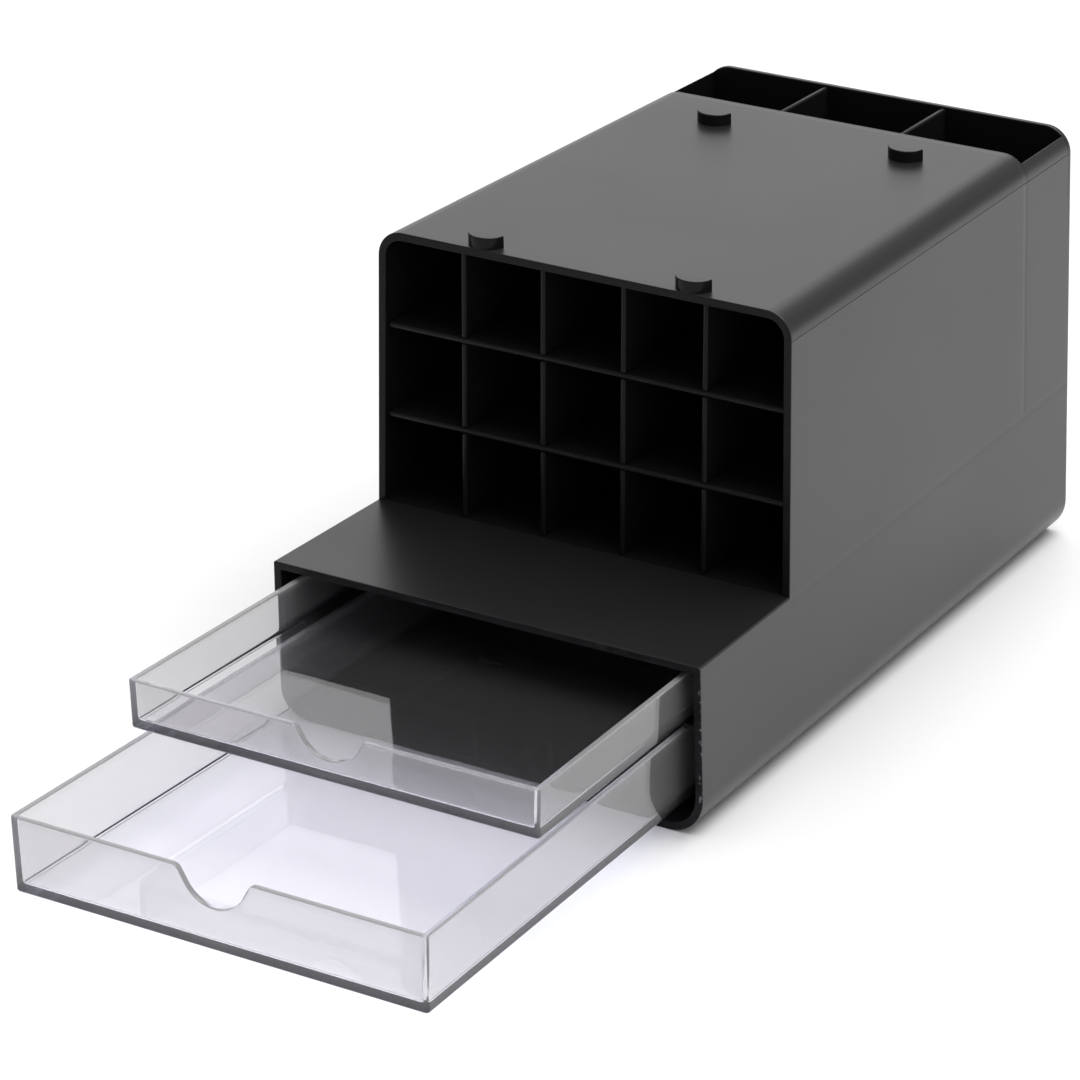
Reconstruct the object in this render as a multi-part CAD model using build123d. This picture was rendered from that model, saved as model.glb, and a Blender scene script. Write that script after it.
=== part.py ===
# Desktop storage box for markers and pencils: a black moulded case with fifteen marker cells,
# three open bins behind them and two clear drawers below.
# Millimetres. The origin is the middle of the case's underside, +Z up; the drawers open towards -Y.
import os
from math import cos, radians, sin, tan

from build123d import *

# ---- case: outer form -------------------------------------------------------------------------
case_depth = 184.0
case_width = 112.2            # at the foot of the front rim, the widest place
case_height = 107.2           # of the top face, carried forward to the front of the drawers
plan_draft = 1.65             # degrees: each side wall closes in towards the rear
wall_lean = 0.72              # degrees: each side wall leans inwards towards the top
top_fall = 0.76               # degrees: the top face falls towards the rear
top_corner = 6.3              # outer corner radii of the case
foot_corner = 8.9
wall = 1.95                   # top, sides and floor of the case
rear_wall = 2.0
rear_edge = 0.9               # rounding round the back of the case

# ---- marker compartment -----------------------------------------------------------------------
deck_thick = 1.8              # the deck over the drawers carries the lowest markers
setback = 42.8                # the marker rim stands this far behind the drawer rim, at its top
rim_lean = 1.96               # degrees: the marker rim leans back
marker_columns = 5
marker_rows = 3
cell_wall = 1.3               # thickness of the dividers and shelves of the cells
cell_inset = 1.0              # their front edges lie this far behind the rim
bulkhead_back = 159.8         # from the drawer rim to the rear face of the bulkhead
bulkhead_thick = 1.8

# ---- rear bins --------------------------------------------------------------------------------
bin_columns = 3
bin_divider_drop = 0.4        # the dividers end just below the top face

# ---- drawers ----------------------------------------------------------------------------------
drawer_wall = 1.5
drawer_floor = 1.9
drawer_lean = 1.0             # degrees: the drawer's walls open upwards
drawer_corner = 2.2           # upright corners
drawer_foot = 2.4             # rounding under the drawer
drawer_lip = 0.35             # rounding of the drawer's top edge
side_gap = 1.3                # to the case's side walls
seat_gap = 0.3                # under a drawer
back_gap = 0.8                # behind a closed drawer
lower_drawer_height = 18.1
upper_drawer_height = 11.7
lower_drawer_open = 102.5     # how far each drawer stands out as modelled
upper_drawer_open = 59.8
runner_height = 2.9           # ribs on the case floor that carry the lower drawer
runner_width = 1.6
runner_spacing = 62.0
runner_inset = 8.0            # from the drawer rim to the front end of the ribs
ledge_width = 4.2             # ledges on the side walls that carry the upper drawer
ledge_thick = 1.2
ledge_inset = 2.7
drawer_headroom = 0.7         # between the lower drawer and those ledges
deck_headroom = 1.85          # between the upper drawer and the deck

# ---- finger notches in the drawer fronts ------------------------------------------------------
lower_notch_depth = 7.8
upper_notch_depth = 6.4
notch_radius = 8.4            # of the round foot, which takes a fingertip
notch_slope = 60.0            # degrees: steepness of the sides above the foot
notch_shoulder = 2.0          # rounding where the sides meet the drawer's edge

# ---- stacking pegs and the slots under the case that take them -------------------------------
peg_width = 9.0               # across the flat rear
peg_depth = 3.8               # from the flat rear to the round front
peg_height = 2.8
peg_edge = 0.3
front_peg_spacing = 53.8
rear_peg_spacing = 51.6
front_peg_place = 46.7        # from the drawer rim to the pegs' flat rears
rear_peg_place = 145.2
slot_clearance = 0.5

# ---- places that follow from the sizes --------------------------------------------------------
front = -case_depth / 2
back = case_depth / 2
bulkhead_rear = front + bulkhead_back
bulkhead_front = bulkhead_rear - bulkhead_thick
lower_drawer_foot = wall + runner_height + seat_gap
ledge_top = lower_drawer_foot + lower_drawer_height + drawer_headroom + ledge_thick
upper_drawer_foot = ledge_top + seat_gap
deck_height = upper_drawer_foot + upper_drawer_height + deck_headroom + deck_thick
drawer_length = case_depth - rear_wall - back_gap
over = 5.0                    # how far a cutting solid runs past the face that it cuts


def half_width(y, z):
    """Half the outer width of the case at depth y and height z."""
    return case_width / 2 - (y - front) * tan(radians(plan_draft)) - z * tan(radians(wall_lean))


def top_height(y):
    """Height of the case's top face at depth y."""
    return case_height - (y - front) * tan(radians(top_fall))


def rim_depth(z):
    """Depth of the leaning plane of the marker rim at height z."""
    rim_top = front + setback
    return rim_top - (top_height(rim_top) - z) * tan(radians(rim_lean))


def case_corners(y, inset):
    """Corners of the case's cross-section at depth y, moved inwards by inset, anticlockwise."""
    low, high = inset, top_height(y) - inset
    low_half = half_width(y, low) - inset
    high_half = half_width(y, high) - inset
    return [(-low_half, y, low), (low_half, y, low), (high_half, y, high), (-high_half, y, high)]


def case_solid(y_start, y_end, inset):
    """The case's drafted form between two depths: six flat sides, then four long roundings."""
    near, far = case_corners(y_start, inset), case_corners(y_end, inset)
    outlines = [near, far]
    for i in range(4):
        j = (i + 1) % 4
        outlines.append([near[i], near[j], far[j], far[i]])
    faces = [Face(Wire.make_polygon(outline)) for outline in outlines]
    solid = Solid(Shell(faces))
    long_edges = [edge for edge in solid.edges() if abs(edge.tangent_at(0.5).Y) > 0.9]
    long_edges.sort(key=lambda edge: edge.center().Z)
    solid = fillet(long_edges[:2], foot_corner - inset)
    long_edges = [edge for edge in solid.edges() if abs(edge.tangent_at(0.5).Y) > 0.9]
    long_edges.sort(key=lambda edge: edge.center().Z)
    return fillet(long_edges[-2:], top_corner - inset)


def block(x_range, y_range, z_range):
    """Box between the given limits."""
    (x0, x1), (y0, y1), (z0, z1) = x_range, y_range, z_range
    return Pos((x0 + x1) / 2, (y0 + y1) / 2, (z0 + z1) / 2) * Box(x1 - x0, y1 - y0, z1 - z0)


def behind_rim(inset):
    """Everything behind the leaning marker rim, moved back by inset."""
    low, high = deck_height - over, case_height + over
    side_view = Polygon(
        (rim_depth(low) + inset, low), (back + over, low),
        (back + over, high), (rim_depth(high) + inset, high), align=None)
    side_plane = Plane(origin=(0, 0, 0), x_dir=(0, 1, 0), z_dir=(1, 0, 0))
    return extrude(side_plane * side_view, amount=case_width, both=True)


def inside_plan(y_start, y_end, z, inset):
    """Plan of the case's inside at height z between two depths, moved inwards by inset."""
    near = half_width(y_start, z) - wall - inset
    far = half_width(y_end, z) - wall - inset
    return Polygon((-near, y_start), (near, y_start), (far, y_end), (-far, y_end), align=None)


cavity = case_solid(front - over, back - rear_wall, wall)
wide = (-case_width, case_width)


def peg_outline(clearance):
    """Peg seen from above, round in front and flat behind, grown by a clearance."""
    arc_radius = (peg_width**2 / 4 + peg_depth**2) / (2 * peg_depth)
    disc = Pos(0, arc_radius - peg_depth) * Circle(arc_radius + clearance)
    flat_back = Pos(0, clearance - peg_width) * Rectangle(2 * peg_width, 2 * peg_width)
    return disc & flat_back


def peg_places():
    """Middles of the four pegs' flat rears, seen from above."""
    rows = ((front_peg_place, front_peg_spacing), (rear_peg_place, rear_peg_spacing))
    return [(side * spacing / 2, front + place) for place, spacing in rows for side in (-1, 1)]


def make_case_shell():
    """Floor, sides and top: stepped at the front, open over the bins, slotted for stacking."""
    shell = case_solid(front, back - rear_wall, 0) - cavity
    step = block(wide, (front - over, back), (deck_height, case_height + over)) - behind_rim(0)
    shell -= step
    mouth_low = case_height - 2 * top_corner
    mouth = inside_plan(bulkhead_rear, back, mouth_low, 0)
    shell -= Pos(0, 0, mouth_low) * extrude(mouth, amount=4 * top_corner)
    for x, y in peg_places():
        shell -= extrude(Pos(x, y, -over) * peg_outline(slot_clearance), amount=wall + over + 1)
    return shell


def make_rear_wall():
    """Back of the case, full height, with a rounded outer edge."""
    plate = case_solid(back - rear_wall, back, 0)
    outer_face = plate.faces().sort_by(Axis.Y)[-1]
    return fillet(outer_face.edges(), rear_edge)


def level_plate(z_top, thickness, y_start, y_end):
    """Plate across the inside of the case, seated on both side walls."""
    return cavity & block(wide, (y_start, y_end), (z_top - thickness, z_top))


def make_bulkhead():
    """Upright wall between the marker cells and the bins."""
    return cavity & block(wide, (bulkhead_front, bulkhead_rear), (deck_height, case_height))


def cell_levels():
    """Lower and upper height of each row of cells, from the deck to the top wall."""
    ceiling = top_height(front + setback) - wall
    pitch = (ceiling - deck_height + cell_wall) / marker_rows
    floors = [deck_height + row * pitch for row in range(marker_rows)]
    ceilings = [floor + pitch - cell_wall for floor in floors[:-1]] + [case_height]
    return list(zip(floors, ceilings))


def make_marker_shelf(row):
    """Shelf under the given row of cells."""
    top = cell_levels()[row][0]
    return level_plate(top, cell_wall, front, bulkhead_front) & behind_rim(cell_inset)


def divider_slab(index, columns, y_start, y_end):
    """Upright slab to the right of one of several equal columns, which narrow to the rear."""
    share = (index + 1) / columns - 0.5
    x_start = share * 2 * (half_width(y_start, deck_height) - wall)
    x_end = share * 2 * (half_width(y_end, deck_height) - wall)
    half = cell_wall / 2
    plan = Polygon((x_start - half, y_start), (x_start + half, y_start),
                   (x_end + half, y_end), (x_end - half, y_end), align=None)
    return extrude(Pos(0, 0, deck_height) * plan, amount=case_height)


def make_marker_divider(index):
    """Divider between two columns of marker cells, one panel in each row of cells."""
    slab = divider_slab(index, marker_columns, front, bulkhead_front)
    slab = slab & behind_rim(cell_inset) & cavity
    panels = [slab & block(wide, (front, back), level) for level in cell_levels()]
    return Compound([solid for panel in panels for solid in panel.solids()])


def make_bin_divider(index):
    """Divider between two bins, open at the top."""
    slab = divider_slab(index, bin_columns, bulkhead_rear, back - rear_wall)
    return slab & Pos(0, 0, -bin_divider_drop) * case_solid(front, back, 0)


def make_drawer_ledge(side):
    """Ledge along the left or right side wall, under the upper drawer."""
    start, end = front + ledge_inset, back - rear_wall
    plate = level_plate(ledge_top, ledge_thick, start, end)
    between = inside_plan(start - over, end + over, ledge_top, ledge_width)
    ledges = plate - extrude(between, amount=deck_height)
    return ledges.solids().sort_by(Axis.X)[0 if side == "left" else -1]


def make_stacking_pegs():
    """Four pegs on the top face, upright, with their feet on its slope."""
    pegs = []
    body = case_solid(front, back, 0)
    for x, y in peg_places():
        peg_top = top_height(y) + peg_height
        peg = extrude(Pos(x, y, 0) * peg_outline(0), amount=peg_top)
        peg -= body
        pegs.append(chamfer(peg.faces().sort_by(Axis.Z)[-1].edges(), peg_edge))
    return Compound([solid for peg in pegs for solid in peg.solids()])


def make_floor_runners():
    """Two ribs along the case floor."""
    ribs = []
    for side in (-1, 1):
        x = side * runner_spacing / 2
        across = (x - runner_width / 2, x + runner_width / 2)
        along = (front + runner_inset, back - rear_wall)
        ribs.append(block(across, along, (wall, wall + runner_height)))
    return Compound(ribs)


def drawer_plan(foot, height, inset):
    """Plan of a drawer at its foot, tapering to the rear like the case round it."""
    rim = foot + height
    spread = height * tan(radians(drawer_lean))
    start, end = front + inset, front + drawer_length - inset
    near = half_width(front, rim) - wall - side_gap - spread - inset
    far = near - (end - start) * tan(radians(plan_draft))
    outline = Polygon((-near, start + spread), (near, start + spread),
                      (far, end - spread), (-far, end - spread), align=None)
    return fillet(outline.vertices(), drawer_corner - inset / 2)


def notch_outline(rim, depth):
    """Finger notch seen from the front: round foot, sloping sides and rounded shoulders."""
    steep = radians(notch_slope)
    foot = rim - depth
    side_x = notch_radius * sin(steep)
    side_z = foot + notch_radius * (1 - cos(steep))
    top_half = side_x + (rim - side_z) / tan(steep)
    shelf = top_half + 2 * notch_shoulder
    arc = ThreePointArc((-side_x, side_z), (0, foot), (side_x, side_z))
    sides = Polyline(
        (side_x, side_z), (top_half, rim), (shelf, rim), (shelf, rim + over),
        (-shelf, rim + over), (-shelf, rim), (-top_half, rim), (-side_x, side_z))
    outline = make_face(Curve() + arc + sides)
    shoulders = [
        v for v in outline.vertices()
        if abs(abs(v.X) - top_half) < 0.01 and abs(v.Y - rim) < 0.01]
    return fillet(shoulders, notch_shoulder)


def make_drawer(foot, height, notch_depth, opening):
    """Clear drawer with drafted walls, rounded foot and a notched front, pulled out by opening."""
    rim = foot + height
    body = extrude(Pos(0, 0, foot) * drawer_plan(foot, height, 0), amount=height,
                   taper=-drawer_lean)
    body = fillet(body.faces().sort_by(Axis.Z)[0].edges(), drawer_foot)
    room = extrude(Pos(0, 0, foot + drawer_floor) * drawer_plan(foot, height, drawer_wall),
                   amount=height, taper=-drawer_lean)
    room = fillet(room.faces().sort_by(Axis.Z)[0].edges(), drawer_foot - drawer_wall / 2)
    body -= room
    body = fillet(body.faces().sort_by(Axis.Z)[-1].edges(), drawer_lip)
    front_plane = Plane(origin=(0, front - over, 0), x_dir=(1, 0, 0), z_dir=(0, -1, 0))
    notch = extrude(front_plane * notch_outline(rim, notch_depth),
                    amount=-(over + 3 * drawer_wall))
    body -= notch
    return Pos(0, -opening, 0) * body


def make_nodes():
    """Every node of the model by name."""
    nodes = {
        "case_shell": make_case_shell(),
        "rear_wall": make_rear_wall(),
        "marker_deck": level_plate(deck_height, deck_thick, front, back - rear_wall),
        "drawer_ledge_left": make_drawer_ledge("left"),
        "drawer_ledge_right": make_drawer_ledge("right"),
        "floor_runners": make_floor_runners(),
        "bulkhead": make_bulkhead(),
        "marker_shelf_lower": make_marker_shelf(1),
        "marker_shelf_upper": make_marker_shelf(2),
        "bin_divider_left": make_bin_divider(0),
        "bin_divider_right": make_bin_divider(1),
        "stacking_pegs": make_stacking_pegs(),
        "lower_drawer": make_drawer(
            lower_drawer_foot, lower_drawer_height, lower_notch_depth, lower_drawer_open),
        "upper_drawer": make_drawer(
            upper_drawer_foot, upper_drawer_height, upper_notch_depth, upper_drawer_open),
    }
    for column in range(marker_columns - 1):
        nodes[f"marker_divider_{column + 1}"] = make_marker_divider(column)
    return nodes


os.makedirs("parts", exist_ok=True)
for name, shape in make_nodes().items():
    export_step(shape, f"parts/{name}.step")
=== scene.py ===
import bpy
import bmesh
import numpy as np
from math import radians, tan, atan, sqrt, pi, sin, cos
from mathutils import Matrix, Vector


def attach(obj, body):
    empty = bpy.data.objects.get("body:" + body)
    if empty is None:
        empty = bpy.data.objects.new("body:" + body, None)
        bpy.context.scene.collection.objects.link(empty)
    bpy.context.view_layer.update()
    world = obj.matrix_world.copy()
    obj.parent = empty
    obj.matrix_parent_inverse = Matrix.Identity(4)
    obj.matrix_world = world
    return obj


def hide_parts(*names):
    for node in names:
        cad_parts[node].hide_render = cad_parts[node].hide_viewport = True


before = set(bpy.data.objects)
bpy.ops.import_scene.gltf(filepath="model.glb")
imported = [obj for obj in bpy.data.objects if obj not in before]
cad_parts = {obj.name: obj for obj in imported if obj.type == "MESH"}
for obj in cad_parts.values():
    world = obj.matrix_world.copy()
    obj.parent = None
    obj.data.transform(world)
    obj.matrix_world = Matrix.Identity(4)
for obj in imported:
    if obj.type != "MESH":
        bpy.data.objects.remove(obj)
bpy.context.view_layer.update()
print("frame loaded:", len(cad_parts), "nodes")

# shape of the moulded case, in mm
case = {
    "depth": 184.0, "footWidth": 112.2, "height": 107.2,
    "planDraft": 1.65, "wallLean": 0.72, "topFall": 0.76,      # degrees
    "topCorner": 6.3, "footCorner": 8.9, "wall": 1.95, "rearWall": 2.0, "rearEdge": 0.9,
    "deck": 40.8, "deckThick": 1.8, "setback": 42.8, "rimLean": 1.96,
    "bulkheadRear": 159.8, "bulkheadThick": 1.8,
    "rimRound": 0.22, "shoulderRound": 0.5, "panelRound": 0.3,
    "partLine": 0.09, "partLineHalf": 0.09,    # groove where the top's rounding meets the sides
}
front, back = -case["depth"] / 2, case["depth"] / 2
binFront, binBack = front + case["bulkheadRear"], back - case["rearWall"]
slope = {k: tan(radians(case[k])) for k in ("planDraft", "wallLean", "topFall", "rimLean")}
lean = atan(slope["wallLean"])                 # angle of the side walls
leanStretch = sqrt(1 + slope["wallLean"] ** 2)
sharpAngle = radians(32)                       # edges that turn more than this are shaded as sharp
mm = 0.001                                     # in metres


def halfWidth(y, z):
    # straight line in both: narrower to the rear and to the top
    return case["footWidth"] / 2 - (y - front) * slope["planDraft"] - z * slope["wallLean"]


def topHeight(y):
    return case["height"] - (y - front) * slope["topFall"]


def rimDepth(z):
    # leaning plane of the marker rim, measured from its top
    rimTop = front + case["setback"]
    return rimTop - (topHeight(rimTop) - z) * slope["rimLean"]


def cornerArc(y, inset, radius, level, turn):
    # corner arc between a level line and the leaning side: centre + radius * (cos, sin)
    xc = halfWidth(y, level) - inset - radius * leanStretch
    return xc + radius * np.cos(turn), level + radius * np.sin(turn)


def blend(a, b, t):
    return a + (b - a) * t


def meshFromGrid(name, points, closeU, closeV, capU=False, capV=False, cloud=None):
    # quads between neighbours of a grid of points in mm, closed where asked,
    # ends capped by one face each
    nu, nv = points.shape[:2]
    ids = np.arange(nu * nv).reshape(nu, nv)
    a = ids if closeU else ids[:-1]
    b = np.roll(ids, -1, 0) if closeU else ids[1:]
    if closeV:
        quads = np.stack([a, b, np.roll(b, -1, 1), np.roll(a, -1, 1)], -1)
    else:
        quads = np.stack([a[:, :-1], b[:, :-1], b[:, 1:], a[:, 1:]], -1)
    faces = quads.reshape(-1, 4).tolist()
    if capU:
        faces += [ids[0].tolist(), ids[-1].tolist()]
    if capV:
        faces += [ids[:, 0].tolist(), ids[:, -1].tolist()]
    mesh = bpy.data.meshes.new(name)
    mesh.from_pydata((points.reshape(-1, 3) * mm).tolist(), [], faces)
    # share per point of painted highlight and painted sheen, used by the drawers
    if cloud is not None:
        paintedSheenLayer = mesh.attributes.new("cloud", "FLOAT", "POINT")
        paintedSheenLayer.data.foreach_set("value", cloud.ravel().astype(np.float32))
    return finishMesh(name, mesh)


def finishMesh(name, mesh):
    bm = bmesh.new()
    bm.from_mesh(mesh)
    bmesh.ops.remove_doubles(bm, verts=bm.verts, dist=1e-7)
    bmesh.ops.recalc_face_normals(bm, faces=bm.faces)
    bm.to_mesh(mesh)
    bm.free()
    mesh.polygons.foreach_set("use_smooth", np.ones(len(mesh.polygons), bool))
    mesh.set_sharp_from_angle(angle=sharpAngle)
    piece = bpy.data.objects.new(name, mesh)
    bpy.context.scene.collection.objects.link(piece)
    steady = piece.modifiers.new("flatFacesStayFlat", "WEIGHTED_NORMAL")
    steady.mode, steady.keep_sharp = "FACE_AREA", True
    return piece


def edgeLoop(thickness, roundFront, roundBack, steps=5):
    # closed loop round a wall; rows hold the inset, the share of the length (0 in front, 1 at
    # the rear) and a distance added to it
    turn = np.linspace(0, pi / 2, steps)
    rf, rb = roundFront, roundBack
    rows = [(0.0, s, rf + (-rf - rb) * s) for s in np.linspace(1, 0, 14)]
    rows += [(rf - rf * cos(a), 0.0, rf - rf * sin(a)) for a in turn[1:]]
    rows += [(thickness - rf + rf * sin(a), 0.0, rf - rf * cos(a)) for a in turn]
    rows += [(thickness, s, rf + (-rf - rb) * s) for s in np.linspace(0, 1, 6)[1:]]
    rows += [(thickness - rb + rb * cos(a), 1.0, -rb + rb * sin(a)) for a in turn[1:]]
    rows += [(rb - rb * sin(a), 1.0, -rb + rb * cos(a)) for a in turn[:-1]]
    return np.array(rows)


# hood over the marker cells
def hoodSurface():
    # section: side line, corner arc, top line, mirrored; carried round the wall's edge loop,
    # with its front on the leaning rim
    loop = edgeLoop(case["wall"], case["rimRound"], case["panelRound"])
    inset, share, extra = (loop[:, i][None, :] for i in range(3))
    side = np.linspace(0, 1, 10)
    arc = np.linspace(lean + case["partLineHalf"] / case["topCorner"], pi / 2, 14)
    top = np.linspace(0, 1, 9)[1:]

    y = np.full((len(side) + 1 + len(arc) + len(top), inset.shape[1]), front + case["setback"])
    for _ in range(3):
        x, z = sectionRows(y, inset, side, arc, top)
        y = blend(rimDepth(z), binFront, share) + extra
    x, z = sectionRows(y, inset, side, arc, top)
    right = np.stack([x, y, z], -1)
    left = right[::-1][1:] * np.array([-1, 1, 1])
    return np.concatenate([right, left])


def sectionRows(y, inset, side, arc, top):
    # the same section with its own depth for each point: side, groove, arc, top
    n1, n2 = len(side), len(arc)
    ys, yg, ya, yt = y[:n1], y[n1:n1 + 1], y[n1 + 1:n1 + 1 + n2], y[n1 + 1 + n2:]
    radius = case["topCorner"] - inset
    meet = topHeight(ys) - inset - radius + radius * sin(lean) - case["partLineHalf"]
    zs = case["deck"] + (meet - case["deck"]) * side[:, None]
    xs = halfWidth(ys, zs) - inset
    xg, zg = grooveRow(yg, inset, radius)
    xa, za = cornerArc(ya, inset, radius, topHeight(ya) - inset - radius, arc[:, None])
    xEnd = cornerArc(yt, inset, radius, topHeight(yt) - inset - radius, pi / 2)[0]
    xt = xEnd * (1 - top[:, None])
    zt = topHeight(yt) - inset + 0 * xt
    return np.concatenate([xs, xg, xa, xt]), np.concatenate([zs, zg, za, zt])


def grooveRow(y, inset, radius):
    # foot of the groove: a point of the side, moved in by a depth that fades out over the rim
    z = topHeight(y) - inset - radius + radius * sin(lean)
    return halfWidth(y, z) - inset - case["partLine"] * np.clip(1 - inset / 0.2, 0, 1), z


hood = meshFromGrid("hood", hoodSurface(), False, True, capU=True)


# drawer housing with the deck
def housingSurface():
    # closed section: floor, foot arcs, sides, small shoulder arcs, deck;
    # carried round the wall's edge loop
    loop = edgeLoop(case["wall"], case["rimRound"], 0.01)
    inset, share, extra = (loop[:, i] for i in range(3))
    yRows = blend(front, binBack, share) + extra
    # the outer rows stop at the marker rim, where the shoulder turns sharp
    outer = (inset == 0) & (share > 0) & (share < 1)
    count = outer.sum()
    rim = rimDepth(case["deck"])
    places = np.concatenate([np.linspace(binBack - 4, rim + 3, count - 6),
                             [rim + 0.35, rim + 0.1, rim - 0.1, rim - 0.5, rim - 14, front + 8]])
    yRows[outer] = places
    y, i = yRows[None, :], inset[None, :]
    wall = case["wall"]
    thick = case["deckThick"] / wall
    sharp = np.where(y > rim, 0.02, case["shoulderRound"])
    shoulder = np.where(i > wall / 2, 0.3, np.maximum(sharp - i, 0.02))
    foot = case["footCorner"] - i
    turnF = np.linspace(-pi / 2, lean, 15)[:, None]
    turnS = np.linspace(lean, pi / 2, 6)[:, None]
    zFoot = foot + i
    xf, zf = cornerArc(y, i, foot, zFoot, turnF)
    levelS = case["deck"] - i * thick - shoulder
    xs, zs = cornerArc(y, i, shoulder, levelS, turnS)
    t = np.linspace(0, 1, 6)[1:-1][:, None]
    xm, zm = blend(xf[-1:], xs[:1], t), blend(zf[-1:], zs[:1], t)
    f = np.linspace(0, 1, 5)[:-1][:, None]
    xa, za = xf[:1] * f, zf[:1] + 0 * f
    d = np.linspace(1, 0, 6)[1:][:, None]
    xd, zd = xs[-1:] * d, zs[-1:] + 0 * d
    x = np.concatenate([xa, xf, xm, xs, xd])
    z = np.concatenate([za, zf, zm, zs, zd])
    right = np.stack([x, y + 0 * x, z], -1)
    left = right[::-1][1:-1] * np.array([-1, 1, 1])
    return np.concatenate([right, left])


housing = meshFromGrid("drawerHousing", housingSurface(), True, True)


# side walls of the bins and the rear wall
def binSideSurface(sign):
    # loop: outer side, part of the corner arc, rounded edge, straight inner face;
    # carried from the panel to the rear wall
    y = np.linspace(binFront - case["panelRound"], binBack, 6)[None, :]
    r, e = case["topCorner"], 0.25
    level = topHeight(y) - r
    inner = halfWidth(y, case["height"] - 2 * r) - case["wall"]
    xc = halfWidth(y, level) - r * leanStretch
    stop = np.arccos(np.clip((inner + 0.35 - xc) / r, -1, 1))
    t = np.linspace(0, 1, 12)[:, None]
    begin = lean + case["partLineHalf"] / r
    turn = begin + (stop - begin) * t
    xa, za = xc + r * np.cos(turn), level + r * np.sin(turn)
    xg, zg = grooveRow(y, 0, r)
    s = np.linspace(0, 1, 8)[:, None]
    zs = case["deck"] + (zg - case["partLineHalf"] - case["deck"]) * s
    xs = halfWidth(y, zs)
    q = np.linspace(0, 1, 5)[1:][:, None]
    xe = blend(xa[-1:], inner, np.sin(q * pi / 2))
    ze = za[-1:] + e * np.sin(q * pi) - 0.3 * (1 - np.cos(q * pi / 2))
    zi = blend(ze[-1:], case["deck"], np.linspace(0, 1, 5)[1:][:, None])
    xi = inner + 0 * zi
    x = np.concatenate([xs, xg, xa, xe, xi])
    z = np.concatenate([zs, zg, za, ze, zi])
    return np.stack([sign * x, y + 0 * x, z], -1)


binSides = [meshFromGrid(name, binSideSurface(sign), True, False, capV=True)
            for name, sign in (("binSideRight", 1), ("binSideLeft", -1))]


def fullSection(y, inset):
    # rounded section of the whole case: from the floor's middle up the right side
    # to the top's middle, then mirrored
    foot, top = case["footCorner"] - inset, case["topCorner"] - inset
    turnF = np.linspace(-pi / 2, lean, 13)[:, None]
    turnT = np.linspace(lean, pi / 2, 13)[:, None]
    xf, zf = cornerArc(y, inset, foot, foot + inset, turnF)
    xt, zt = cornerArc(y, inset, top, topHeight(y) - inset - top, turnT)
    t = np.linspace(0, 1, 10)[1:-1][:, None]
    xm, zm = blend(xf[-1:], xt[:1], t), blend(zf[-1:], zt[:1], t)
    f = np.linspace(0, 1, 5)[:-1][:, None]
    x = np.concatenate([xf[:1] * f, xf, xm, xt, xt[-1:] * f[::-1]])
    z = np.concatenate([zf[:1] + 0 * f, zf, zm, zt, zt[-1:] + 0 * f])
    right = np.stack([x, y + 0 * x, z], -1)
    left = right[::-1][1:-1] * np.array([-1, 1, 1])
    return np.concatenate([right, left])


def rearWallSurface():
    # plate: front face edge, rim, rounded outer edge; the front edge is rounded
    # only along the open top
    e, r = 0.35, case["rearEdge"]
    turn = np.linspace(0, pi / 2, 7)
    inset = np.concatenate([e - e * np.sin(turn[:-1:2]), [0.0], [0.0], r - r * np.cos(turn[1:])])
    y = np.concatenate([binBack + e - e * np.cos(turn[:-1:2]), [binBack + e], [back - r],
                        back - r + r * np.sin(turn[1:])])
    grid = fullSection(y[None, :], inset[None, :])
    flat = fullSection(y[None, :], 0 * inset[None, :])
    keepFlat = (grid[..., 2] < case["height"] - 9) & (y[None, :] < binBack + e + 0.01)
    grid[keepFlat] = flat[keepFlat]
    return grid


rearPlate = meshFromGrid("rearPlate", rearWallSurface(), True, False, capV=True)
print("case shell built")

# stacking pegs, and the slots in the floor that take another box's pegs
pegs = {
    "width": 9.0, "depth": 3.8, "height": 2.8, "edge": 0.32,
    "frontSpacing": 53.8, "rearSpacing": 51.6,
    "frontPlace": 46.7, "rearPlace": 145.2,    # from the drawer rim to the flat rears
    "slotClearance": 0.5,
}
pegPlaces = [(sign * pegs[row + "Spacing"] / 2, front + pegs[row + "Place"], row + hand)
             for row in ("front", "rear") for sign, hand in ((-1, "Left"), (1, "Right"))]


def pegOutline(grow=0.0):
    # arc in front closed by a straight rear, all moved out by grow
    radius = (pegs["width"] ** 2 / 4 + pegs["depth"] ** 2) / (2 * pegs["depth"])
    middle, rear = radius - pegs["depth"], grow
    half = np.arccos((middle - rear) / (radius + grow))
    turn = np.linspace(-half, half, 33)
    xo, yo = (radius + grow) * np.sin(turn), middle - (radius + grow) * np.cos(turn)
    xr = np.linspace(xo[-1], xo[0], 12)[1:-1]
    return np.concatenate([xo, xr]), np.concatenate([yo, yo[-1] + 0 * xr])


def pegSurface(x0, y0):
    # walls upright on the outline, top edge rounded
    xo, yo = pegOutline()
    e, q = pegs["edge"], np.linspace(0, pi / 2, 6)
    height = topHeight(y0) + pegs["height"]
    z = np.concatenate([[topHeight(y0) - 0.4], height - e + e * np.sin(q)])
    shrink = np.concatenate([[0.0], e - e * np.cos(q)])
    mid = -pegs["depth"] * 0.42
    kx, ky = 1 - shrink / (pegs["width"] / 2), 1 - shrink / (pegs["depth"] / 2)
    x = x0 + xo[:, None] * kx[None, :]
    y = y0 + mid + (yo[:, None] - mid) * ky[None, :]
    return np.stack([x, y, z[None, :] + 0 * x], -1)


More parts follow.
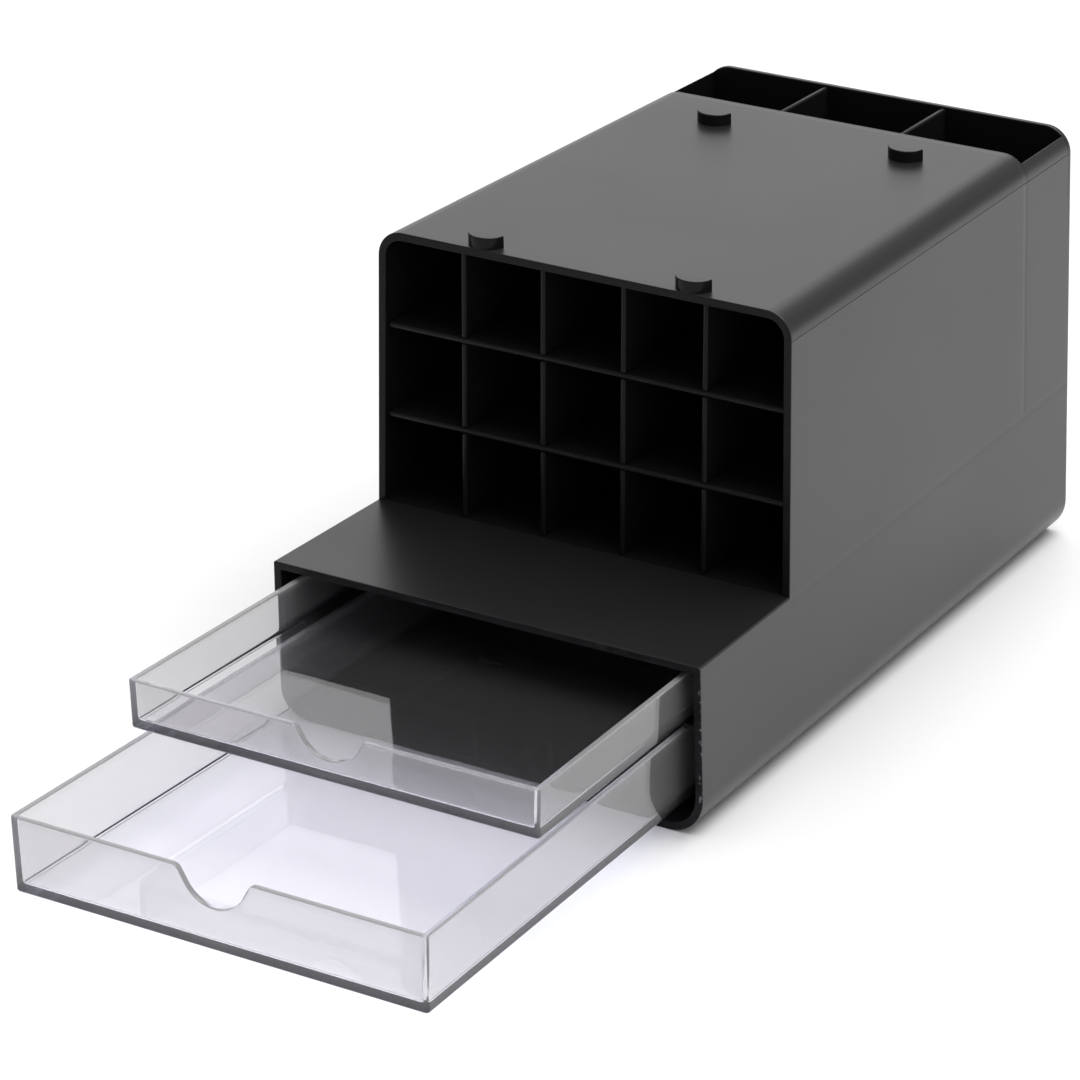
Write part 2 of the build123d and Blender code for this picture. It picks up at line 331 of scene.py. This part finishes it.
def cutSlots():
    # the housing less four upright prisms, one under each peg
    xo, yo = pegOutline(pegs["slotClearance"])
    cutters = []
    for x0, y0, hand in pegPlaces:
        z = np.array([-3.0, case["wall"] + 1.2])
        grid = np.stack([x0 + xo[:, None] + 0 * z, y0 + yo[:, None] + 0 * z,
                         z[None, :] + 0 * xo[:, None]], -1)
        cutters.append(meshFromGrid("slot" + hand, grid, True, False, capV=True))
        cut = housing.modifiers.new("cut", "BOOLEAN")
        cut.object, cut.solver = cutters[-1], "EXACT"
    bpy.context.view_layer.update()
    done = bpy.data.meshes.new_from_object(housing.evaluated_get(bpy.context.evaluated_depsgraph_get()))
    for cut in [m for m in housing.modifiers if m.type == "BOOLEAN"]:
        housing.modifiers.remove(cut)
    housing.data = done
    done.set_sharp_from_angle(angle=sharpAngle)
    for cutter in cutters:
        bpy.data.objects.remove(cutter)


pegPieces = [meshFromGrid("peg" + hand, pegSurface(x0, y0), True, False, capV=True)
             for x0, y0, hand in pegPlaces]
cutSlots()
print("pegs and slots built")

# clear drawers
drawers = {
    "wall": 1.5, "floor": 1.9, "lean": 1.0, "length": 181.2, "sideGap": 1.3,
    "corner": 0.9, "foot": 0.8, "innerFoot": 0.9, "lip": 0.36,
    "notchRadius": 8.4, "notchSlope": 60.0, "shoulder": 2.0,
    "notchReach": 15, "notchZone": 4,          # the notch lies within this x, and this far back
    "lower": {"z": 5.15, "height": 18.1, "open": 102.5, "notch": 7.8},
    "upper": {"z": 25.45, "height": 11.7, "open": 59.8, "notch": 6.4},
}


def notchDrop(x, depth):
    # drop of the front edge at x: round foot, straight slope, rounded shoulder, level
    r, rs, steep = drawers["notchRadius"], drawers["shoulder"], radians(drawers["notchSlope"])
    sideX, sideZ = r * sin(steep), r * (1 - cos(steep))
    half = sideX + (depth - sideZ) / tan(steep)
    ts = rs * tan(steep / 2)
    x2, x3, x4 = sideX, half - ts * cos(steep), half + ts
    x = np.abs(x)
    rise = np.select(
        [x < x2, x < x3, x < x4],
        [r - np.sqrt(np.maximum(r**2 - x**2, 0)), sideZ + (x - sideX) * tan(steep),
         depth - rs + np.sqrt(np.maximum(rs**2 - (x4 - x)**2, 0))], depth)
    return depth - rise


def drawerPlan(off, radius, opened, one):
    # rounded four-sided outline, narrower to the rear, grown by off; the notch keeps its own x places
    t = radians(case["planDraft"])
    spread = one["height"] * tan(radians(drawers["lean"]))
    rim = one["z"] + one["height"]
    near = halfWidth(front, rim) - case["wall"] - drawers["sideGap"] - spread
    y0 = front - opened + spread - off
    y1 = front - opened + drawers["length"] - spread + off
    yBase = front - opened

    def sideX(y):
        return near + off / cos(t) - (y - yBase) * tan(t)

    reach = drawers["notchReach"]
    cyF, cyR = y0 + radius, y1 - radius
    cxF, cxR = sideX(cyF) - radius / cos(t), sideX(cyR) - radius / cos(t)
    notch = np.linspace(0, reach, 46)[:, None]
    outer = np.linspace(0, 1, 7)[1:][:, None]
    xF = np.concatenate([notch + 0 * cxF, blend(reach + 0 * cxF, cxF, outer)])
    turn = np.linspace(-pi / 2, t, 9)[1:][:, None]
    xA, yA = cxF + radius * np.cos(turn), cyF + radius * np.sin(turn)
    turn = np.linspace(t, pi / 2, 9)[:, None]
    xB, yB = cxR + radius * np.cos(turn), cyR + radius * np.sin(turn)
    m = np.linspace(0, 1, 14)[1:-1][:, None]
    xS, yS = blend(xA[-1:], xB[:1], m), blend(yA[-1:], yB[:1], m)
    r = np.linspace(1, 0, 6)[1:][:, None]
    xR, yR = xB[-1:] * r, yB[-1:] + 0 * r
    x = np.concatenate([xF, xA, xS, xB, xR])
    y = np.concatenate([y0 + 0 * xF, yA, yS, yB, yR])
    return x, y


def drawerSurface(one):
    # profile from the underside over the foot arc, wall, rounded lip and inner wall
    # to the floor, carried round the plan
    w, e, tl = drawers["wall"], drawers["lip"], tan(radians(drawers["lean"]))
    z0, h = one["z"], one["height"]
    rf, ri, fl = drawers["foot"], drawers["innerFoot"], drawers["floor"]
    q = np.linspace(0, pi / 2, 7)
    s = np.linspace(0, 1, 8)
    inset, low, share = [], [], []
    for a in q:                                    # outer foot arc
        inset.append(rf - rf * sin(a)); low.append(rf - rf * cos(a)); share.append(0)
    for k in s[1:]:                                # outer wall
        inset.append(0); low.append(rf); share.append(k)
    for a in q[1:]:                                # lip
        inset.append(e - e * cos(a)); low.append(e * sin(a)); share.append(1)
    for a in q:
        inset.append(w - e + e * sin(a)); low.append(e * cos(a)); share.append(1)
    for k in s[::-1][1:]:                          # inner wall
        inset.append(w); low.append(fl + ri); share.append(k)
    for a in q[::-1][1:]:                          # inner foot arc
        inset.append(w + ri - ri * sin(a)); low.append(fl + ri - ri * cos(a)); share.append(0)
    inset, low, share = (np.array(v, float)[None, :] for v in (inset, low, share))
    lipPart = (share == 1) & (low < e + 1e-6)
    wallLow = np.where(inset < w / 2, rf, fl + ri)
    zFlat = np.where(lipPart, h - e + low, np.where(share > 0, blend(wallLow, h - e, share), low))
    radius = np.maximum(drawers["corner"] - inset * 0.5 + zFlat * tl, 0.4)
    x, y = drawerPlan(zFlat * tl - inset, radius, one["open"], one)
    inNotch = (np.abs(x) <= drawers["notchReach"]) & (y < front - one["open"] + drawers["notchZone"])
    drop = np.where(inNotch, notchDrop(x, one["notch"]), 0)
    z = z0 + np.where(lipPart, zFlat - drop,
                      np.where(share > 0, blend(wallLow, h - e - drop, share), zFlat))
    # lip least clear, walls less clear, floor clear: the paler lip and walls are painted highlight
    # along the rims and painted sheen on the walls
    cloud = np.where(lipPart, 1.0, np.where(share > 0, 0.5, 0.0)) + 0 * x
    right = np.stack([x, y, z], -1)
    left = right[::-1][1:-1] * np.array([-1, 1, 1])
    return np.concatenate([right, left]), np.concatenate([cloud, cloud[::-1][1:-1]])


drawerPieces = {}
for key in ("lower", "upper"):
    grid, cloud = drawerSurface(drawers[key])
    drawerPieces[key] = meshFromGrid(key + "ClearDrawer", grid, True, False, capV=True, cloud=cloud)
print("drawers built")

# shelves, dividers, ledges and ribs inside the case
inside = {"ledgesAndRibs": 0.25, "cellWalls": 0.5, "bulkhead": 0.3}    # how far their edges are rounded
innerNodes = {"drawer_ledge_left": "ledgesAndRibs", "drawer_ledge_right": "ledgesAndRibs",
              "floor_runners": "ledgesAndRibs", "bulkhead": "bulkhead",
              "marker_shelf_lower": "cellWalls", "marker_shelf_upper": "cellWalls",
              "marker_divider_1": "cellWalls", "marker_divider_2": "cellWalls",
              "marker_divider_3": "cellWalls", "marker_divider_4": "cellWalls",
              "bin_divider_left": "cellWalls", "bin_divider_right": "cellWalls"}


def roundedCopy(name, roundTo):
    # the node's own solid, its triangles merged to whole faces, with rounded edges
    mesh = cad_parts[name].data.copy()
    mesh.materials.clear()
    bm = bmesh.new()
    bm.from_mesh(mesh)
    bmesh.ops.remove_doubles(bm, verts=bm.verts, dist=1e-6)
    bmesh.ops.dissolve_limit(bm, angle_limit=radians(0.5), verts=bm.verts, edges=bm.edges)
    bm.to_mesh(mesh)
    bm.free()
    mesh.polygons.foreach_set("use_smooth", np.ones(len(mesh.polygons), bool))
    words = name.split("_")
    piece = bpy.data.objects.new(words[0] + "".join(w.capitalize() for w in words[1:]), mesh)
    bpy.context.scene.collection.objects.link(piece)
    edge = piece.modifiers.new("edge", "BEVEL")
    edge.width, edge.segments = roundTo * mm, 4
    edge.limit_method, edge.angle_limit = "ANGLE", radians(40)
    edge.harden_normals = True
    return piece


innerPieces = {name: roundedCopy(name, inside[kind]) for name, kind in innerNodes.items()}
print("inner walls built")

# finishes
def newMaterial(name):
    mat = bpy.data.materials.new(name)
    mat.use_nodes = True
    return mat, mat.node_tree.nodes, mat.node_tree.links, mat.node_tree.nodes["Principled BSDF"]


def addNoise(nodes, links, place, scale, detail=2):
    noise = nodes.new("ShaderNodeTexNoise")
    noise.inputs["Scale"].default_value = scale
    noise.inputs["Detail"].default_value = detail
    links.new(place.outputs["Object"], noise.inputs["Vector"])
    return noise.outputs["Fac"]


def addBump(nodes, links, height, strength, depth):
    # depth in mm
    bump = nodes.new("ShaderNodeBump")
    bump.inputs["Strength"].default_value = strength
    bump.inputs["Distance"].default_value = depth * mm
    links.new(height, bump.inputs["Height"])
    return bump


def addGloss(nodes, links, shader, noise, low, high):
    # roughness that wanders between two values with the noise
    gloss = nodes.new("ShaderNodeMapRange")
    gloss.inputs["To Min"].default_value = low
    gloss.inputs["To Max"].default_value = high
    links.new(noise, gloss.inputs["Value"])
    links.new(gloss.outputs["Result"], shader.inputs["Roughness"])


casePlastic = {
    # outside with a fine eroded texture; smooth rims and insides
    "outer": {"color": (0.012, 0.012, 0.013), "gloss": 0.34, "shine": 0.5, "grainDepth": 0.06},
    "inner": {"color": (0.008, 0.008, 0.009), "gloss": 0.26, "shine": 0.1, "grainDepth": 0.02},
    "ior": 1.57, "glossSpread": 0.05, "glossScale": 22,
    "grain": 2600, "grainBump": 0.2,           # texture scale, and depth of the bump in mm
    "wave": 14, "waveStrength": 0.35, "waveBump": 0.6,
    "sinkWidth": 1.5, "sinkDepth": 0.05,       # shading of the sink marks, in mm
    "wornEdge": (0.22, 0.22, 0.23), "wornWidth": 0.5, "wornSpeck": 900,
    "wornFrom": 0.56, "wornTo": 0.66,          # noise between these turns to a speck
    "wornInset": 0.3, "wornReach": 1.1,        # place on the wall's edge across the case, in mm
}


def bandMask(nodes, links, socket, centre, halfBand):
    # 1 on a plane of one coordinate, falling smoothly to 0 at halfBand to either side, both in mm
    away, far = nodes.new("ShaderNodeMath"), nodes.new("ShaderNodeMath")
    mask = nodes.new("ShaderNodeMapRange")
    away.operation, far.operation, mask.interpolation_type = "SUBTRACT", "ABSOLUTE", "SMOOTHSTEP"
    away.inputs[1].default_value = centre * mm
    mask.inputs["From Max"].default_value = halfBand * mm
    mask.inputs["To Min"].default_value, mask.inputs["To Max"].default_value = 1, 0
    links.new(socket, away.inputs[0])
    links.new(away.outputs["Value"], far.inputs[0])
    links.new(far.outputs["Value"], mask.inputs["Value"])
    return mask.outputs["Result"]


def maths(nodes, links, kind, a, b):
    node = nodes.new("ShaderNodeMath")
    node.operation = kind
    for socket, value in zip(node.inputs, (a, b)):
        if isinstance(value, (int, float)):
            socket.default_value = value
        else:
            links.new(value, socket)
    return node.outputs["Value"]


def addMouldMarks(nodes, links, shader, place, one):
    # shading of sink marks outside the bulkhead and the deck, and pale specks on the worn
    # front edge of the right side
    axes = nodes.new("ShaderNodeSeparateXYZ")
    links.new(place.outputs["Object"], axes.inputs["Vector"])
    xs, ys, zs = axes.outputs
    width = casePlastic["sinkWidth"]
    besideBulkhead = bandMask(nodes, links, ys, binFront - case["bulkheadThick"] / 2, width)
    besideDeck = bandMask(nodes, links, zs, case["deck"] - case["deckThick"] / 2, width)
    aboveDeck = maths(nodes, links, "GREATER_THAN", zs, case["deck"] * mm)
    behindRim = maths(nodes, links, "GREATER_THAN", ys, rimDepth(case["deck"]) * mm)
    dent = maths(nodes, links, "MAXIMUM",
                 maths(nodes, links, "MULTIPLY", besideBulkhead, aboveDeck),
                 maths(nodes, links, "MULTIPLY", besideDeck, behindRim))
    sink = addBump(nodes, links, dent, 1, casePlastic["sinkDepth"])
    sink.invert = True
    chosen = nodes.new("ShaderNodeMapRange")
    chosen.inputs["From Min"].default_value = casePlastic["wornFrom"]
    chosen.inputs["From Max"].default_value = casePlastic["wornTo"]
    links.new(addNoise(nodes, links, place, casePlastic["wornSpeck"]), chosen.inputs["Value"])
    atEdge = bandMask(nodes, links, ys, front, casePlastic["wornWidth"])
    wallEdge = case["footWidth"] / 2 - casePlastic["wornInset"]
    onRight = bandMask(nodes, links, xs, wallEdge, casePlastic["wornReach"])
    worn = maths(nodes, links, "MULTIPLY", maths(nodes, links, "MULTIPLY", atEdge, onRight),
                 chosen.outputs["Result"])
    colour = nodes.new("ShaderNodeMix")
    colour.data_type = "RGBA"
    colour.inputs["A"].default_value = (*one["color"], 1)
    colour.inputs["B"].default_value = (*casePlastic["wornEdge"], 1)
    links.new(worn, colour.inputs["Factor"])
    links.new(colour.outputs["Result"], shader.inputs["Base Color"])
    return sink.outputs["Normal"]


def makeCaseFinish(side):
    one, spread = casePlastic[side], casePlastic["glossSpread"]
    mat, nodes, links, shader = newMaterial(side + "BlackPlastic")
    shader.inputs["Base Color"].default_value = (*one["color"], 1)
    shader.inputs["IOR"].default_value = casePlastic["ior"]
    shader.inputs["Specular IOR Level"].default_value = one["shine"]
    place = nodes.new("ShaderNodeTexCoord")
    patches = addNoise(nodes, links, place, casePlastic["glossScale"], 4)
    addGloss(nodes, links, shader, patches, one["gloss"] - spread, one["gloss"] + spread)
    grain = addNoise(nodes, links, place, casePlastic["grain"])
    wave = addNoise(nodes, links, place, casePlastic["wave"], 1)
    fine = addBump(nodes, links, grain, one["grainDepth"], casePlastic["grainBump"])
    broad = addBump(nodes, links, wave, casePlastic["waveStrength"], casePlastic["waveBump"])
    marks = addMouldMarks(nodes, links, shader, place, one)
    links.new(marks, fine.inputs["Normal"])
    links.new(fine.outputs["Normal"], broad.inputs["Normal"])
    links.new(broad.outputs["Normal"], shader.inputs["Normal"])
    return mat


clearPlastic = {
    "tint": (0.85, 0.837, 0.83), "ior": 1.59, "gloss": 0.02,
    # lip and wall values below the floor's paint the pale highlight along the rims and the sheen on the
    # walls
    "floorClear": 0.985, "wallClear": 0.9, "lipClear": 0.72,
    "flow": 30, "flowStrength": 0.2, "flowBump": 0.4,    # texture scale, and bump depth in mm
    "shadow": (0.88, 0.88, 0.89),
    "depthTint": (0.42, 0.48, 0.86), "depthDensity": 40,
}


def makeDrawerFinish():
    mat, nodes, links, shader = newMaterial("clearPlastic")
    shader.inputs["Base Color"].default_value = (*clearPlastic["tint"], 1)
    shader.inputs["IOR"].default_value = clearPlastic["ior"]
    # painted highlight on the lips and painted sheen on the walls, set by how clear each point is
    cloud, clear = nodes.new("ShaderNodeAttribute"), nodes.new("ShaderNodeValToRGB")
    cloud.attribute_name = "cloud"
    clear.color_ramp.elements.new(0.5)
    for stop, part in zip(clear.color_ramp.elements, ("floor", "wall", "lip")):
        stop.color = (clearPlastic[part + "Clear"],) * 3 + (1,)
    links.new(cloud.outputs["Fac"], clear.inputs["Fac"])
    links.new(clear.outputs["Color"], shader.inputs["Transmission Weight"])
    place = nodes.new("ShaderNodeTexCoord")
    flow = addNoise(nodes, links, place, clearPlastic["flow"])
    addGloss(nodes, links, shader, flow, 0.0, 2 * clearPlastic["gloss"])
    bump = addBump(nodes, links, flow, clearPlastic["flowStrength"], clearPlastic["flowBump"])
    links.new(bump.outputs["Normal"], shader.inputs["Normal"])
    through = nodes.new("ShaderNodeBsdfTransparent")   # lets the lamps' light through
    through.inputs["Color"].default_value = (*clearPlastic["shadow"], 1)
    path, mix = nodes.new("ShaderNodeLightPath"), nodes.new("ShaderNodeMixShader")
    depth = nodes.new("ShaderNodeVolumeAbsorption")    # long ways through the plastic look blue grey
    depth.inputs["Color"].default_value = (*clearPlastic["depthTint"], 1)
    depth.inputs["Density"].default_value = clearPlastic["depthDensity"]
    out = nodes["Material Output"]
    links.new(path.outputs["Is Shadow Ray"], mix.inputs["Fac"])
    links.new(shader.outputs["BSDF"], mix.inputs[1])
    links.new(through.outputs["BSDF"], mix.inputs[2])
    links.new(mix.outputs["Shader"], out.inputs["Surface"])
    links.new(depth.outputs["Volume"], out.inputs["Volume"])
    return mat


def belowSurface(x, y, z):
    # how deep a point lies under the case's outer surface, in mm
    side = (halfWidth(y, z) - np.abs(x)) / leanStretch
    topGap = topHeight(y) - z
    depth = np.minimum(np.minimum(side, topGap), z)
    for gap, radius in ((topGap, case["topCorner"]), (z, case["footCorner"])):
        corner = (side < radius) & (gap < radius)
        depth = np.where(corner, radius - np.hypot(radius - side, radius - gap), depth)
    return np.minimum(depth, back - y)


texture = {
    "skin": 0.12, "frontFacing": -0.6,         # faces this near the outer surface, but not the rims
    "deckBand": 0.2, "deckFacing": 0.7, "deckReach": 1,
}


def paintCase(piece):
    # outer texture on faces of the outer surface and the open deck, smooth finish on the rest
    mesh = piece.data
    mesh.materials.clear()
    mesh.materials.append(outerFinish)
    mesh.materials.append(innerFinish)
    count = len(mesh.polygons)
    middle, facing = np.empty(count * 3), np.empty(count * 3)
    mesh.polygons.foreach_get("center", middle)
    mesh.polygons.foreach_get("normal", facing)
    x, y, z = middle.reshape(-1, 3).T * 1000
    ny, nz = facing.reshape(-1, 3).T[1:]
    onDeck = ((np.abs(z - case["deck"]) < texture["deckBand"]) & (nz > texture["deckFacing"])
              & (y < rimDepth(case["deck"]) + texture["deckReach"]))
    inSkin = (belowSurface(x, y, z) < texture["skin"]) & (ny > texture["frontFacing"])
    outer = inSkin | onDeck
    mesh.polygons.foreach_set("material_index", np.where(outer, 0, 1).astype(np.int32))


outerFinish, innerFinish = makeCaseFinish("outer"), makeCaseFinish("inner")
drawerFinish = makeDrawerFinish()
for piece in [hood, housing, rearPlate, *binSides]:
    paintCase(piece)
for piece in pegPieces:
    piece.data.materials.append(outerFinish)
    piece.data.materials.append(innerFinish)
    facing = np.empty(len(piece.data.polygons) * 3)
    piece.data.polygons.foreach_get("normal", facing)
    piece.data.polygons.foreach_set("material_index", (facing[2::3] < 0.8).astype(np.int32))
for name, piece in innerPieces.items():
    piece.data.materials.append(innerFinish)
    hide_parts(name)
for piece in [hood, housing, rearPlate, *binSides, *pegPieces, *innerPieces.values()]:
    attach(piece, "case")
for key, piece in drawerPieces.items():
    piece.data.materials.append(drawerFinish)
    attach(piece, key + "_drawer")
    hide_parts(key + "_drawer")
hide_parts("case_shell")
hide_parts("marker_deck")
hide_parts("rear_wall")
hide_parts("stacking_pegs")
print("finishes done")

# floor, light and camera
studio = {
    "floor": 0.92, "floorGloss": 0.7, "floorHalf": 6.0, "world": 0.37,    # sizes in metres
    "lamps": {
        "topLight": {"place": (0.45, 0.35, 2.1), "target": (0.1, 0.1, 0), "size": 2.2, "power": 47.0},
        "backLight": {"place": (-1.25, 1.95, 1.15), "target": (0, 0, 0.05), "size": 2.4, "power": 10.5},
        "sideLight": {"place": (1.9, -0.9, 1.4), "target": (0, 0, 0.05), "size": 1.2, "power": 4.5},
    },
}


def makeFloor():
    mesh = bpy.data.meshes.new("floor")
    s = studio["floorHalf"]
    mesh.from_pydata([(-s, -s, 0), (s, -s, 0), (s, s, 0), (-s, s, 0)], [], [(0, 1, 2, 3)])
    floor = bpy.data.objects.new("floor", mesh)
    bpy.context.scene.collection.objects.link(floor)
    mat, nodes, links, shader = newMaterial("paleFloor")
    shader.inputs["Base Color"].default_value = (studio["floor"],) * 3 + (1,)
    shader.inputs["Roughness"].default_value = studio["floorGloss"]
    mesh.materials.append(mat)


def areaLight(name, place, target, size, power):
    data = bpy.data.lights.new(name, "AREA")
    data.shape, data.size, data.energy = "DISK", size, power
    lamp = bpy.data.objects.new(name, data)
    place, target = Vector(place), Vector(target)
    lamp.matrix_world = Matrix.LocRotScale(place, (target - place).to_track_quat("-Z", "Y"), None)
    bpy.context.scene.collection.objects.link(lamp)


def makeStudio():
    makeFloor()
    world = bpy.data.worlds.new("studio")
    world.use_nodes = True
    world.node_tree.nodes["Background"].inputs[0].default_value = (1, 1, 1, 1)
    world.node_tree.nodes["Background"].inputs[1].default_value = studio["world"]
    bpy.context.scene.world = world
    for name, lamp in studio["lamps"].items():
        areaLight(name, **lamp)
    bpy.context.scene.view_settings.view_transform = "Standard"


def makeCamera():
    # orbit round the target by azimuth and elevation, then a small roll
    view = {"azimuth": 32.73, "elevation": 24.27, "roll": -1.17, "distance": 1.1445,
            "target": (-0.01209, -0.04892, 0.03883), "lens": 168.26, "sensor": 36,
            "nearest": 0.05, "farthest": 50}
    a, e, r = (radians(view[k]) for k in ("azimuth", "elevation", "roll"))
    toward = Vector((sin(a) * cos(e), -cos(a) * cos(e), sin(e)))
    right = (-toward).cross(Vector((0, 0, 1))).normalized()
    up = right.cross(-toward)
    x, y = right * cos(r) + up * sin(r), -right * sin(r) + up * cos(r)
    data = bpy.data.cameras.new("camera")
    data.lens, data.sensor_width = view["lens"], view["sensor"]
    data.clip_start, data.clip_end = view["nearest"], view["farthest"]
    camera = bpy.data.objects.new("camera", data)
    basis = Matrix((x, y, toward)).transposed().to_4x4()
    place = Vector(view["target"]) + toward * view["distance"]
    camera.matrix_world = Matrix.Translation(place) @ basis
    bpy.context.scene.collection.objects.link(camera)
    bpy.context.scene.camera = camera


makeStudio()
makeCamera()
print("studio ready")
